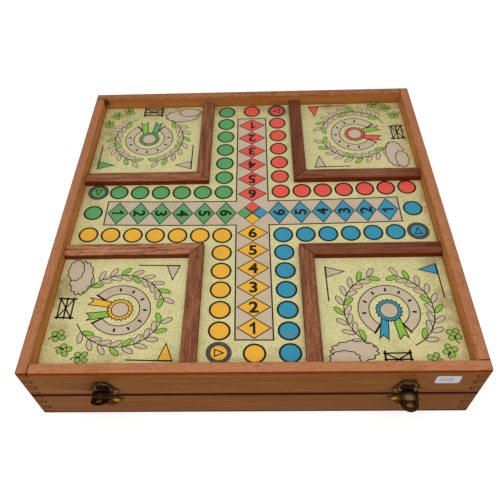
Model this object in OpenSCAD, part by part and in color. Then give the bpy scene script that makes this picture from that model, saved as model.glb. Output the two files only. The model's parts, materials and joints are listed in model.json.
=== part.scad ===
// Folding game board box: two shallow finger-jointed trays hinged at the back and held by two hasps.
// The lid's upper face is a sunken board with four stables fenced by mitred strips.
// X runs left to right, Y front to back, Z up. The origin is the centre of the underside.

/* [Box] */
// Outside width of the closed box, left to right
box_w = 370; // [260:1:480]
// Outside depth of the closed box, front to back
box_d = 370; // [260:1:480]
// Height of each of the two equal trays
tray_h = 36.4; // [34:0.2:60]
// Gap between the trays when the box is shut
tray_gap = 0.6; // [0.3:0.1:1]
// Thickness of the rails round both trays
rail_t = 9.6; // [9:0.2:14]
// Radius of the upright outer corners
corner_r = 2; // [0.5:0.25:4]
// Chamfer along the outer and inner edges of the rim and the foot
rim_chamfer = 0.8; // [0.2:0.1:1.5]
// Chamfer along the edges where the two trays meet
meet_chamfer = 0.4; // [0.2:0.1:0.8]

/* [Corner joints] */
// Fingers and sockets over the height of one tray corner
finger_count = 7; // [3:2:9]

/* [Panels] */
// Thickness of the plywood panels
panel_t = 4; // [3:0.25:5]
// Depth of the groove that carries the lid's panel
groove_d = 4; // [2:0.25:4.5]
// Width of the rebate that the base's panel lies in
rebate_w = 5; // [3:0.25:6]
// Play all round a panel in its groove or rebate
panel_play = 0.15; // [0.05:0.05:0.3]
// Depth of the board below the rim
board_drop = 13.6; // [10:0.2:16]
// Thickness of the printed sheet glued to the lid's panel
sheet_t = 0.4; // [0.2:0.1:1]
// Gap between the printed sheet and the rails
sheet_margin = 0.3; // [0.1:0.1:2]

/* [Stables] */
// Free width of the lane that runs front to back, between the strips
lane_x = 88.8; // [60:0.2:110]
// Distance from the middle of the box to the strips of the two back stables
back_strips = 40; // [30:0.2:55]
// Distance from the middle of the box to the strips of the front left stable
front_left_strips = 46.2; // [30:0.2:55]
// Distance from the middle of the box to the strips of the front right stable
front_right_strips = 48.6; // [30:0.2:55]
// Width of a strip
strip_w = 13.4; // [8:0.5:18]
// Height of a strip above the printed sheet
strip_h = 6.6; // [3:0.2:9]
// Chamfer along a strip's upper edges
strip_chamfer = 0.5; // [0.2:0.1:1.2]
// Gap between a strip's end and the rail
strip_play = 0.2; // [0.1:0.1:0.5]

/* [Hinges] */
// Distance from a side of the box to the middle of a hinge
hinge_inset = 65; // [40:1:90]
// Length of a hinge along its pin
hinge_l = 40; // [30:1:60]
// Width of a leaf, from the back of the box inwards
leaf_w = 8; // [6:0.25:8.5]
// Thickness of a leaf
leaf_t = 1.2; // [0.8:0.1:1.5]
// Knuckles of one hinge, shared between its two leaves
knuckle_count = 5; // [3:2:7]
// Outer radius of a knuckle
knuckle_r = 2.2; // [1.9:0.1:2.6]
// Radius of the hinge pin
hinge_pin_r = 1; // [0.8:0.05:1.2]
// Distance of the hinge pin behind the box
hinge_stand = 2.6; // [2.6:0.1:3.5]
// Play round a leaf in its recess
leaf_play = 0.15; // [0.05:0.05:0.3]
// Radial play of a pin in its knuckles
pin_play = 0.05; // [0.02:0.01:0.09]
// Gap between neighbouring knuckles
knuckle_gap = 0.2; // [0.1:0.05:0.4]

/* [Screws and nails] */
// Screws in one hinge leaf
screw_count = 3; // [2:1:4]
// Radius of a screw's countersunk head
screw_head_r = 2.1; // [1.7:0.1:2.4]
// Radius of a screw's shank
screw_r = 1.1; // [0.8:0.05:1.3]
// Length of a screw
screw_l = 9; // [6:0.5:14]
// Width of a screw's slot
screw_slot = 0.5; // [0.3:0.05:0.7]
// Radius of a latch nail's head
nail_head_r = 1.4; // [1.1:0.05:1.7]
// Height of a latch nail's head
nail_head_h = 0.6; // [0.4:0.05:0.9]
// Radius of the flat top of a latch nail's head
nail_top_r = 0.85; // [0.5:0.05:1]
// Radius of a latch nail's shank
nail_r = 0.6; // [0.4:0.05:0.8]
// Length of a latch nail under its head
nail_l = 5; // [3.5:0.1:5.2]
// Radial play of screws and nails in their holes
fixing_play = 0.03; // [0.02:0.01:0.08]

/* [Latches] */
// Distance from the left side of the box to the middle of the left latch
latch_inset_left = 65; // [45:0.5:100]
// Distance from the right side of the box to the middle of the right latch
latch_inset_right = 61; // [45:0.5:100]
// Thickness of a latch's sheet metal plates
plate_t = 0.8; // [0.6:0.05:1]
// Width of a latch plate across its wings
plate_w = 26; // [24:0.5:30]
// Radius of a wing's round end
wing_r = 1.8; // [1.2:0.1:2.2]
// Distance of a wing's nail from the centre of the wing's round end
nail_set = 1; // [0.5:0.1:2]
// Height of the nail in the catch plate's tail above the plate's lower end
tail_nail_up = 3.9; // [3.6:0.1:5]
// Height of the upper plate's wings above the meeting line of the trays
wing_up = 5.6; // [4.5:0.1:7]
// Depth of the catch plate's wings below the meeting line of the trays
wing_down = 7.4; // [7:0.1:9]
// Width of the upper plate's head
plate_head_w = 10; // [9:0.5:13]
// Width of the upper plate's lower edge
plate_foot_w = 16; // [14:0.5:18]
// Width of the catch plate's upper edge
catch_head_w = 12; // [10:0.5:14]
// Width of the catch plate's tail
catch_tail_w = 2; // [1.5:0.5:4]
// Distance of the upper plate's lower edge above the meeting line of the trays
plate_foot = 1.1; // [0.6:0.1:1.3]
// Distance of the catch plate's upper edge below the meeting line of the trays
catch_head = 2.1; // [1.8:0.1:2.3]
// Height of a latch's upper edge above the meeting line of the trays
plate_top = 23.6; // [23:0.2:25]
// Depth of a latch's lower end below the meeting line of the trays
plate_bottom = 20.6; // [19:0.2:23]
// Width of the arched shield pressed up from the upper plate
shield_w = 14.4; // [12:0.2:15]
// Height that the shield stands up from its plate
shield_rise = 0.6; // [0.4:0.05:0.8]
// Width of the shield's raised rim
shield_rim = 1.1; // [0.8:0.1:1.5]
// Distance from the shield's top to the plate's upper edge
shield_down = 2.8; // [2.8:0.1:3.4]
// Gap between the hasp's barrel and the shield above it
shield_gap = 0.8; // [0.7:0.05:1]
// Height of the dome inside the shield above the shield's rim
dome_rise = 0.3; // [0.1:0.05:0.4]
// Height of the hasp pin above the meeting line of the trays
pin_up = 10; // [9:0.2:11]
// Distance of the hasp pin in front of the box
pin_out = 2.8; // [2.7:0.1:3.2]
// Radius of the hasp pin
hasp_pin_r = 0.7; // [0.5:0.05:0.8]
// Outer radius of the hasp's barrel and of the plate's knuckles
barrel_r = 1.5; // [1.4:0.05:1.6]
// Width of the hasp's barrel
barrel_w = 9; // [7:0.5:9.5]
// Width of the hasp
hasp_w = 14; // [13:0.5:15]
// Thickness of the hasp's metal
hasp_t = 0.9; // [0.7:0.05:1.1]
// Length of the hasp from its pin to the tip
hasp_l = 18.2; // [17.6:0.2:19]
// Length of the narrow neck between the barrel and the hasp's full width
neck_l = 0.5; // [0.4:0.05:0.8]
// How far the radius of the hasp's round tip exceeds half its width
tip_flare = 0.2; // [0.1:0.05:0.3]
// Length of the bow that carries the hasp over the meeting line
bow_l = 9; // [8:0.5:9.5]
// Rise of the hasp's bow
bow_rise = 1.6; // [1:0.1:2]
// Step from the end of the bow in to the hasp's tab
tab_set = 2; // [1.6:0.1:2.1]
// Distance from the hasp's pin to the middle of its hole
hole_down = 12.5; // [12.3:0.1:12.9]
// Width of the hasp's oval hole
hole_w = 5.2; // [4.8:0.1:6]
// Height of the hasp's oval hole
hole_h = 3.7; // [3.5:0.1:4]
// Width of the hook that the hole drops over
hook_w = 3.2; // [2.6:0.1:3.4]
// Distance that the hook stands out from the catch plate
hook_out = 2.5; // [2.3:0.1:2.8]
// Length of the hook's end that is turned down
hook_drop = 0.7; // [0.4:0.1:0.8]
// Angle that the left hasp is swung up from its shut position
swing_left = 125; // [60:1:140]
// Angle that the right hasp is swung up from its shut position
swing_right = 94; // [60:1:140]

/* [Hidden] */
$fn = 48;
// Facets of a wide shallow arc
fine = 96;
// Overshoot of a cut past a face
cut = 1;
// Overlap that joins two shapes of one piece
weld = 0.2;
closed_h = 2 * tray_h + tray_gap;
meet_z = closed_h / 2;
inner_w = box_w - 2 * rail_t;
inner_d = box_d - 2 * rail_t;
finger_h = tray_h / finger_count;
sheet_z = closed_h - board_drop - sheet_t;
lid_panel_z = sheet_z - panel_t;
// The lid is modelled upside down in tray coordinates, so its groove is measured from the rim
groove_z = board_drop + sheet_t;
hinge_x = [-box_w / 2 + hinge_inset, box_w / 2 - hinge_inset];
hinge_y = box_d / 2 + hinge_stand;
knuckle_l = hinge_l / knuckle_count;
leaf_mid_y = box_d / 2 - leaf_w / 2;
screw_pitch = hinge_l / screw_count;
face_y = -box_d / 2;
latch_x = [-box_w / 2 + latch_inset_left, box_w / 2 - latch_inset_right];
swing = [swing_left, swing_right];
pin_y = face_y - pin_out;
pin_z = meet_z + pin_up;
nail_x = plate_w / 2 - wing_r - nail_set;
plate_nails = [[-nail_x, wing_up], [nail_x, wing_up], [0, plate_top - shield_down / 2]];
catch_nails = [[-nail_x, -wing_down], [nail_x, -wing_down], [0, -plate_bottom + tail_nail_up]];
shield_foot = pin_up + barrel_r + shield_gap;
shield_top = plate_top - shield_down;
dome_r = (shield_top - shield_foot) / 2 - shield_rim;

// Turns the lid's tray, modelled rim down, into its place over the base
module as_lid() {
  translate([0, 0, closed_h]) mirror([0, 0, 1]) children();
}

// A rod of square section whose removal leaves a chamfer of the given width on an edge along X
module chamfer_rod(length, width) {
  rotate([45, 0, 0]) cube([length, width * sqrt(2), width * sqrt(2)], center = true);
}

// Plan of the box with rounded corners
module rounded_plan(w, d, r) {
  square([w - 2 * r, d], center = true);
  square([w, d - 2 * r], center = true);
  for (x = [-1, 1], y = [-1, 1])
    translate([x * (w / 2 - r), y * (d / 2 - r)]) circle(r);
}

// Sockets at both ends of a rail: the even ones at its left end, the odd ones at its right end
module finger_sockets(length, front_y) {
  for (i = [0 : finger_count - 1]) {
    below = i == 0 ? cut : 0;
    above = i == finger_count - 1 ? cut : 0;
    x = i % 2 == 0 ? -length / 2 - cut : length / 2 - rail_t;
    translate([x, front_y - cut, i * finger_h - below])
      cube([rail_t + cut, rail_t + 2 * cut, finger_h + below + above]);
  }
}

// One rail of a tray that stands on its foot: side 0 is front, 1 right, 2 back and 3 left
module rail(side) {
  length = side % 2 == 0 ? box_w : box_d;
  depth = side % 2 == 0 ? box_d : box_w;
  front_y = -depth / 2;
  inner_l = length - 2 * rail_t;
  rotate([0, 0, 90 * side]) difference() {
    intersection() {
      translate([-length / 2, front_y, 0]) cube([length, rail_t, tray_h]);
      linear_extrude(height = tray_h) rounded_plan(length, depth, corner_r);
    }
    finger_sockets(length, front_y);
    for (turn = [0 : 3]) {
      reach = turn % 2 == 0 ? length : depth;
      out = turn % 2 == 0 ? depth : length;
      rotate([0, 0, 90 * turn]) translate([0, -out / 2, 0]) {
        chamfer_rod(reach + 2 * cut, rim_chamfer);
        translate([0, 0, tray_h]) chamfer_rod(reach + 2 * cut, meet_chamfer);
      }
    }
    translate([0, front_y + rail_t, 0]) chamfer_rod(inner_l, rim_chamfer);
    translate([0, front_y + rail_t, tray_h]) chamfer_rod(inner_l, meet_chamfer);
  }
}

// Rebate for a panel that lies flush with the foot
module panel_rebate() {
  translate([-inner_w / 2 - rebate_w, -inner_d / 2 - rebate_w, -cut])
    cube([inner_w + 2 * rebate_w, inner_d + 2 * rebate_w, cut + panel_t + panel_play]);
}

// Groove for a panel that stands inside the tray
module panel_groove() {
  translate([-inner_w / 2 - groove_d, -inner_d / 2 - groove_d, groove_z - panel_play])
    cube([inner_w + 2 * groove_d, inner_d + 2 * groove_d, panel_t + 2 * panel_play]);
}

// Recesses for the two hinge leaves in the meeting edge of a back rail, with holes for the screws
module hinge_recesses() {
  for (x = hinge_x) {
    translate([x - hinge_l / 2 - leaf_play, box_d / 2 - leaf_w - leaf_play, tray_h - leaf_t])
      cube([hinge_l + 2 * leaf_play, leaf_w + leaf_play + cut, leaf_t + cut]);
    screw_places(x) translate([0, 0, -screw_l]) cylinder(h = screw_l, r = screw_r + fixing_play);
  }
}

// Places children where the screws of one leaf enter, at the level of the tray's meeting edge
module screw_places(x) {
  for (i = [0 : screw_count - 1])
    translate([x + (i - (screw_count - 1) / 2) * screw_pitch, leaf_mid_y, tray_h]) children();
}

// Holes for latch nails through a front rail, given as [x, height above the meeting line]
module nail_holes(places) {
  for (x = latch_x, p = places)
    translate([x + p[0], face_y, meet_z + p[1]]) rotate([-90, 0, 0])
      translate([0, 0, -cut]) cylinder(h = nail_l + cut, r = nail_r + fixing_play);
}

module base_rail(side) {
  color("sienna") difference() {
    rail(side);
    panel_rebate();
    if (side == 2) hinge_recesses();
    if (side == 0) nail_holes(catch_nails);
  }
}

module lid_rail(side) {
  color("sienna") difference() {
    as_lid() difference() {
      rail(side);
      panel_groove();
      if (side == 2) hinge_recesses();
    }
    if (side == 0) nail_holes(plate_nails);
  }
}

module base_panel() {
  lip = rebate_w - panel_play;
  color("burlywood") translate([-inner_w / 2 - lip, -inner_d / 2 - lip, 0])
    cube([inner_w + 2 * lip, inner_d + 2 * lip, panel_t]);
}

module lid_panel() {
  tongue = groove_d - panel_play;
  color("burlywood") translate([-inner_w / 2 - tongue, -inner_d / 2 - tongue, lid_panel_z])
    cube([inner_w + 2 * tongue, inner_d + 2 * tongue, panel_t]);
}

module board_sheet() {
  color("palegoldenrod") translate([-inner_w / 2 + sheet_margin, -inner_d / 2 + sheet_margin, sheet_z])
    cube([inner_w - 2 * sheet_margin, inner_d - 2 * sheet_margin, sheet_t]);
}

// One strip of a stable, from its mitre at the origin along X, with the stable on its far side
module mitred_strip(length) {
  difference() {
    linear_extrude(height = strip_h)
      polygon([[0, 0], [length, 0], [length, strip_w], [strip_w, strip_w]]);
    for (y = [0, strip_w])
      translate([length / 2, y, strip_h]) chamfer_rod(length + 2 * strip_w, strip_chamfer);
  }
}

// Distance from the middle of the box to the strips of the stable in quarter [sx, sy], front to back
function lane_edge(sx, sy) = sy > 0 ? back_strips : sx < 0 ? front_left_strips : front_right_strips;

// Places a strip drawn for the back right stable at the inner corner of the stable in quarter [sx, sy]
module in_stable_corner(sx, sy) {
  color("saddlebrown")
    translate([sx * lane_x / 2, sy * lane_edge(sx, sy), sheet_z + sheet_t])
      mirror([sx < 0 ? 1 : 0, 0, 0]) mirror([0, sy < 0 ? 1 : 0, 0]) children();
}

// The strip of the stable in the quarter [sx, sy] that runs left to right
module strip_across(sx, sy) {
  in_stable_corner(sx, sy) mitred_strip((inner_w - lane_x) / 2 - strip_play);
}

// The strip of the stable in the quarter [sx, sy] that runs front to back
module strip_along(sx, sy) {
  in_stable_corner(sx, sy) mirror([1, -1, 0])
    mitred_strip(inner_d / 2 - lane_edge(sx, sy) - strip_play);
}

// Countersunk screw, its head's top at the origin
module wood_screw(play) {
  neck = screw_head_r - screw_r;
  translate([0, 0, -neck]) cylinder(h = neck, r1 = screw_r + play, r2 = screw_head_r + play);
  translate([0, 0, -screw_l]) cylinder(h = screw_l - neck, r = screw_r + play);
}

module slotted_screw() {
  difference() {
    wood_screw(0);
    translate([0, 0, (cut - screw_slot) / 2])
      cube([2 * screw_head_r + cut, screw_slot, screw_slot + cut], center = true);
  }
}

// A hinge leaf of a tray that stands on its foot: first is the number of its first knuckle
module hinge_leaf(x, first) {
  color("darkgoldenrod") difference() {
    union() {
      translate([x - hinge_l / 2, box_d / 2 - leaf_w, tray_h - leaf_t])
        cube([hinge_l, leaf_w, leaf_t]);
      for (i = [first : 2 : knuckle_count - 1]) {
        gap_left = i == 0 ? 0 : knuckle_gap / 2;
        gap_right = i == knuckle_count - 1 ? 0 : knuckle_gap / 2;
        w = knuckle_l - gap_left - gap_right;
        translate([x - hinge_l / 2 + i * knuckle_l + gap_left, 0, 0]) {
          translate([0, box_d / 2 - weld, tray_h - leaf_t]) cube([w, hinge_stand + weld, leaf_t]);
          translate([0, hinge_y, meet_z]) rotate([0, 90, 0]) cylinder(h = w, r = knuckle_r);
        }
      }
    }
    translate([x - hinge_l / 2 - cut, hinge_y, meet_z]) rotate([0, 90, 0])
      cylinder(h = hinge_l + 2 * cut, r = hinge_pin_r + pin_play);
    screw_places(x) wood_screw(fixing_play);
  }
}

module hinge_pin(x) {
  color("darkgoldenrod") translate([x - hinge_l / 2, hinge_y, meet_z]) rotate([0, 90, 0])
    cylinder(h = hinge_l, r = hinge_pin_r);
}

module hinge_screws() {
  color("goldenrod") for (x = hinge_x) screw_places(x) slotted_screw();
}

// Stands a flat outline up against the front of the box, at latch n, and gives it a thickness
module on_front(n, from, thickness) {
  translate([latch_x[n], face_y - from, meet_z]) rotate([90, 0, 0])
    linear_extrude(height = thickness) children();
}

// Outline of the upper plate: a narrow head that spreads to two rounded wings
module plate_outline() {
  wing_x = plate_w / 2 - wing_r;
  polygon([
    [-plate_head_w / 2, plate_top], [plate_head_w / 2, plate_top],
    [wing_x + wing_r, wing_up], [wing_x, wing_up - wing_r],
    [plate_foot_w / 2, plate_foot], [-plate_foot_w / 2, plate_foot],
    [-wing_x, wing_up - wing_r], [-wing_x - wing_r, wing_up]
  ]);
  for (x = [-wing_x, wing_x]) translate([x, wing_up]) circle(wing_r);
}

// Outline of the catch plate: two rounded wings that draw in to a blunt tail
module catch_outline() {
  wing_x = plate_w / 2 - wing_r;
  polygon([
    [-catch_head_w / 2, -catch_head], [catch_head_w / 2, -catch_head],
    [wing_x, wing_r - wing_down], [wing_x + wing_r, -wing_down],
    [catch_tail_w / 2, -plate_bottom], [-catch_tail_w / 2, -plate_bottom],
    [-wing_x - wing_r, -wing_down], [-wing_x, wing_r - wing_down]
  ]);
  for (x = [-wing_x, wing_x]) translate([x, -wing_down]) circle(wing_r);
}

module nail_bores(places) {
  for (p = places) translate(p) circle(nail_r + fixing_play);
}

// Outline of the arched shield that is pressed up from the upper plate, above the hasp's pin
module shield_outline(inset) {
  r = shield_w / 2 - inset;
  intersection() {
    translate([0, shield_top - shield_w / 2]) {
      circle(r);
      translate([-r, -shield_top]) square([2 * r, shield_top]);
    }
    translate([-shield_w / 2, shield_foot + inset]) square([shield_w, shield_top]);
  }
}

// Shallow round dome on a flat face, with its foot at the origin
module dome(r, rise) {
  ball_r = (r * r + rise * rise) / (2 * rise);
  intersection() {
    translate([0, 0, rise - ball_r]) sphere(ball_r, $fn = fine);
    translate([0, 0, -weld]) cylinder(h = rise + 2 * weld, r = r);
  }
}

module latch_plate(n) {
  knuckle_w = (hasp_w - barrel_w) / 2 - knuckle_gap;
  color("dimgray") difference() {
    union() {
      on_front(n, 0, plate_t) difference() {
        plate_outline();
        nail_bores(plate_nails);
      }
      on_front(n, plate_t - weld, shield_rise + weld) difference() {
        shield_outline(0);
        shield_outline(shield_rim);
      }
      translate([latch_x[n], face_y - plate_t, meet_z + shield_foot + shield_rim + dome_r])
        rotate([90, 0, 0]) dome(dome_r, shield_rise + dome_rise);
      for (side = [-1, 1])
        translate([latch_x[n] + side * (hasp_w - knuckle_w) / 2, 0, pin_z]) {
          translate([-knuckle_w / 2, pin_y, 0]) rotate([0, 90, 0])
            cylinder(h = knuckle_w, r = barrel_r);
          translate([-knuckle_w / 2, pin_y, barrel_r - plate_t])
            cube([knuckle_w, pin_out - plate_t + weld, plate_t]);
        }
    }
    translate([latch_x[n] - hasp_w / 2 - cut, pin_y, pin_z]) rotate([0, 90, 0])
      cylinder(h = hasp_w + 2 * cut, r = hasp_pin_r + pin_play);
  }
}

module latch_pin(n) {
  color("dimgray") translate([latch_x[n] - hasp_w / 2, pin_y, pin_z]) rotate([0, 90, 0])
    cylinder(h = hasp_w, r = hasp_pin_r);
}

// Side profile of a shut hasp, pin at the origin: x is the distance outwards, y is upwards.
// It leaves the barrel's outer side, bows out over the meeting line and comes back to a flat tab.
module hasp_profile() {
  bow_x = barrel_r - hasp_t;
  bow_r = (pow(bow_l / 2, 2) + pow(bow_rise, 2)) / (2 * bow_rise);
  // bow
  intersection() {
    translate([bow_x + bow_rise - bow_r + hasp_t, -bow_l / 2]) difference() {
      circle(bow_r, $fn = fine);
      circle(bow_r - hasp_t, $fn = fine);
    }
    translate([bow_x, -bow_l]) square([hasp_t + bow_rise, bow_l]);
  }
  // tab
  translate([bow_x - tab_set, -hasp_l]) square([hasp_t, hasp_l - bow_l]);
  // step from the bow in to the tab
  translate([bow_x - tab_set, -bow_l - hasp_t / 2]) square([tab_set + hasp_t, hasp_t]);
}

// Front outline of a shut hasp, pin at the origin
module hasp_outline() {
  tip_r = hasp_w / 2 + tip_flare;
  translate([-barrel_w / 2, -barrel_r - 2 * neck_l]) square([barrel_w, 2 * (barrel_r + neck_l)]);
  translate([-hasp_w / 2, -hasp_l + tip_r]) square([hasp_w, hasp_l - tip_r - barrel_r - neck_l]);
  translate([0, -hasp_l + tip_r]) circle(tip_r);
}

// Slot with round ends, centred on the origin
module oval(w, h) {
  square([w - h, h], center = true);
  for (x = [-1, 1]) translate([x * (w - h) / 2, 0]) circle(h / 2);
}

module latch_hasp(n) {
  color("dimgray") translate([latch_x[n], pin_y, pin_z]) rotate([-swing[n], 0, 0]) difference() {
    union() {
      rotate([0, 90, 0]) translate([0, 0, -barrel_w / 2]) cylinder(h = barrel_w, r = barrel_r);
      intersection() {
        rotate([90, 0, -90]) translate([0, 0, -hasp_w]) linear_extrude(height = 2 * hasp_w)
          hasp_profile();
        rotate([90, 0, 0]) translate([0, 0, -hasp_w]) linear_extrude(height = 2 * hasp_w)
          hasp_outline();
      }
    }
    rotate([0, 90, 0]) translate([0, 0, -hasp_w]) cylinder(h = 2 * hasp_w, r = hasp_pin_r + pin_play);
    translate([0, 0, -hole_down]) rotate([90, 0, 0]) translate([0, 0, -hasp_w])
      linear_extrude(height = 2 * hasp_w) oval(hole_w, hole_h);
  }
}

module latch_catch(n) {
  color("dimgray") {
    on_front(n, 0, plate_t) difference() {
      catch_outline();
      nail_bores(catch_nails);
    }
    // hook turned out of the plate's upper edge, with its end bent down
    translate([latch_x[n] - hook_w / 2, face_y - plate_t - hook_out, meet_z - catch_head - plate_t]) {
      cube([hook_w, hook_out + weld, plate_t]);
      translate([0, 0, -hook_drop]) cube([hook_w, plate_t, hook_drop + plate_t]);
    }
  }
}

// Nails of both latches, with their heads on the plates
module latch_nails(places) {
  color("darkgoldenrod") for (x = latch_x, p = places)
    translate([x + p[0], face_y - plate_t, meet_z + p[1]]) rotate([90, 0, 0]) {
      translate([0, 0, -nail_l]) cylinder(h = nail_l + weld, r = nail_r);
      cylinder(h = nail_head_h, r1 = nail_head_r, r2 = nail_top_r);
    }
}

base_rail(0);  // base_front_rail
base_rail(1);  // base_right_rail
base_rail(2);  // base_back_rail
base_rail(3);  // base_left_rail
base_panel();
lid_rail(0);  // lid_front_rail
lid_rail(1);  // lid_right_rail
lid_rail(2);  // lid_back_rail
lid_rail(3);  // lid_left_rail
lid_panel();
board_sheet();
strip_across(-1, -1);  // strip_front_left_across
strip_along(-1, -1);  // strip_front_left_along
strip_across(1, -1);  // strip_front_right_across
strip_along(1, -1);  // strip_front_right_along
strip_across(-1, 1);  // strip_back_left_across
strip_along(-1, 1);  // strip_back_left_along
strip_across(1, 1);  // strip_back_right_across
strip_along(1, 1);  // strip_back_right_along
hinge_leaf(hinge_x[0], 0);  // hinge_left_base_leaf
as_lid() hinge_leaf(hinge_x[0], 1);  // hinge_left_lid_leaf
hinge_pin(hinge_x[0]);  // hinge_left_pin
hinge_leaf(hinge_x[1], 0);  // hinge_right_base_leaf
as_lid() hinge_leaf(hinge_x[1], 1);  // hinge_right_lid_leaf
hinge_pin(hinge_x[1]);  // hinge_right_pin
hinge_screws();  // hinge_screws_base
as_lid() hinge_screws();  // hinge_screws_lid
latch_plate(0);  // latch_left_plate
latch_pin(0);  // latch_left_pin
latch_hasp(0);  // latch_left_hasp
latch_catch(0);  // latch_left_catch
latch_plate(1);  // latch_right_plate
latch_pin(1);  // latch_right_pin
latch_hasp(1);  // latch_right_hasp
latch_catch(1);  // latch_right_catch
latch_nails(plate_nails);  // latch_nails_lid
latch_nails(catch_nails);  // latch_nails_base
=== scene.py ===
"""Looks of a folding game board box: oiled wood, printed board, stained strips and aged brass."""

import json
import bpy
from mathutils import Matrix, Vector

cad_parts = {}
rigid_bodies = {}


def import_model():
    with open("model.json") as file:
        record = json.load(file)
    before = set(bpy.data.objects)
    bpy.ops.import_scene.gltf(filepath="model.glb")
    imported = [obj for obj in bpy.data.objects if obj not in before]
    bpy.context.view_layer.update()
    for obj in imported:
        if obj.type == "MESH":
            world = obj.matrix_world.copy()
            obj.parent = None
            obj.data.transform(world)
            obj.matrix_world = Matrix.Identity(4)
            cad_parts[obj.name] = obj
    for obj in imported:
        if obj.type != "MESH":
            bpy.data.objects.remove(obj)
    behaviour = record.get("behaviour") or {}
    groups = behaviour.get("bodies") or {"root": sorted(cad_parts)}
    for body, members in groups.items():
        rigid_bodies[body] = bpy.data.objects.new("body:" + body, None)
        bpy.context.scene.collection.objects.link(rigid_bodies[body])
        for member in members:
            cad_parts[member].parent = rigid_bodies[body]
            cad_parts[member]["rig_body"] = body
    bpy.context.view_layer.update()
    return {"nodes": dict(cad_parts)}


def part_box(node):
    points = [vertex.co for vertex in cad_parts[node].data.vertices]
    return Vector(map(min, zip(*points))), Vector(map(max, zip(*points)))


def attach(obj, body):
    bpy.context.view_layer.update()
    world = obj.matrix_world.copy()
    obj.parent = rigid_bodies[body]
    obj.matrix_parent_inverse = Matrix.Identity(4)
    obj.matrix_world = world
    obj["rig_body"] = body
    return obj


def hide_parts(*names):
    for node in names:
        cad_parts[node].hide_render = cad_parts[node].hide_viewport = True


bl_info = {
    "name": "Folding Game Board Box",
    "version": (1, 0, 0),
    "blender": (4, 5, 0),
    "location": "3D View > Sidebar > Game Box",
    "description": "Dresses the packed box with wood, print and brass, and sets up its studio",
    "category": "Object",
}

from math import cos, pi, radians, sin

import bmesh
import bpy
from bpy.props import FloatProperty, FloatVectorProperty, PointerProperty
from bpy.types import Operator, Panel, PropertyGroup
from mathutils import Matrix, Vector

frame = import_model()
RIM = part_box("lid_front_rail")[1].z
MEET = (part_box("lid_front_rail")[0].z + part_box("base_front_rail")[1].z) / 2
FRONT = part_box("lid_front_rail")[0].y
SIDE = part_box("lid_right_rail")[1].x
RAIL_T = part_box("lid_front_rail")[1].y - FRONT
INNER = SIDE - RAIL_T
TRAY_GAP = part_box("lid_front_rail")[0].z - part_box("base_front_rail")[1].z
FINGER_H = (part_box("base_front_rail")[1].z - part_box("base_front_rail")[0].z) / 7
SHEET_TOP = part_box("board_sheet")[1].z
LATCH_X = [
    (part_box(f"latch_{side}_plate")[0].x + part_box(f"latch_{side}_plate")[1].x) / 2
    for side in ("left", "right")
]
MM = 0.001
# Vertices closer than this are one, faces that turn less than this are flat, edges that turn more are worn
WELD, FLAT, SHARP = 0.002 * MM, radians(0.5), radians(35)
# Shortest edge that is rounded, in widths of the rounding
SHORTEST = 2.5


def tone(red, green, blue):
    """A colour written in the 0 to 255 steps of a paint chart, as linear light."""
    return tuple(
        (v / 255 / 12.92) if v <= 10 else ((v / 255 + 0.055) / 1.055) ** 2.4
        for v in (red, green, blue)
    )


def length(name, description, default, low, high):
    """A size that is written in millimetres."""
    return FloatProperty(
        name=name, description=description, default=default * MM, min=low * MM, max=high * MM,
        subtype="DISTANCE", unit="LENGTH", precision=5,
    )


def colour(name, description, red, green, blue):
    return FloatVectorProperty(
        name=name, description=description, default=tone(red, green, blue), min=0, max=1, subtype="COLOR",
    )


class GameBoxWood(PropertyGroup):
    edge_round: length("Edge rounding", "Wear on the edges of rails and strips", 0.25, 0.05, 1)
    metal_round: length("Metal rounding", "Wear on the edges of the brass", 0.16, 0.02, 0.4)
    face: colour("Faces", "Oiled wood of the rails' outer faces", 176, 116, 64)
    face_deep: colour("Grain", "Darker growth bands of the rails", 150, 92, 44)
    rim: colour("Rim", "Rubbed wood on top of the rails", 182, 117, 77)
    rim_light: colour("Rim grain", "Paler growth bands of the rim", 207, 144, 102)
    inside: colour("Inner faces", "Varnished wood inside the rim", 220, 150, 84)
    inside_deep: colour("Inner grain", "Darker growth bands inside the rim", 156, 90, 36)
    # stain is also painted shade at the foot of the inner walls
    stain: colour("Stain", "Orange brown stain under the arrises, and painted shade at the foot of the inner walls", 142, 60, 10)
    # joint is painted shadow of the gap between the trays, with dark stain
    joint: colour("Joint", "Painted gap shadow and dark stain along the joint of the trays", 60, 2, 0)
    strip: colour("Strips", "Stained hardwood of the strips", 146, 90, 62)
    strip_deep: colour("Strip grain", "Darker growth bands of the strips", 92, 45, 28)
    strip_faded: colour("Faded strips", "Hardwood that light has bleached", 210, 143, 104)
    strip_side: colour("Strip sides", "Dark stain on the sides of the strips", 104, 34, 4)
    ply: colour("Plywood", "Bare plywood of both panels", 196, 160, 112)
    ply_deep: colour("Plywood grain", "Darker bands of the plywood", 158, 116, 72)
    # shade is painted shade: the faces are drawn darker towards the right and on the base tray
    shade: colour("Painted shade on faces", "Darker wood towards the right and on the base", 130, 78, 34)
    rim_fleck: colour("Rim flecks", "Short dark flecks on the rim", 120, 56, 26)
    # rim_dim is the darker tone that dim draws on the rim
    rim_dim: colour("Darker rim", "Rim drawn darker on some sides", 120, 70, 40)
    end_grain: colour("End grain", "Ends of the joint fingers", 132, 70, 34)
    foot: colour("Foot", "Dark stain along the foot of the base", 92, 40, 8)
    crack: colour("Cracks", "Dirt in the gaps of the joint fingers", 46, 16, 4)
    bloom: colour("Bloom", "Orange stain above each latch", 140, 72, 20)
    scuff: colour("Scuffs", "Marks of handling", 104, 60, 30)
    knot: colour("Knot", "Knot in the back left corner", 70, 24, 12)
    shine: colour("Shine", "Tint of the faint shine on the rails", 255, 214, 170)
    pore: colour("Strip pores", "Long dark pores of the strips", 66, 28, 14)
    mitre: colour("Mitres", "Dark line along the mitres", 52, 18, 8)
    strip_shine: colour("Strip shine", "Tint of the shine on the strips", 255, 206, 160)


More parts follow.
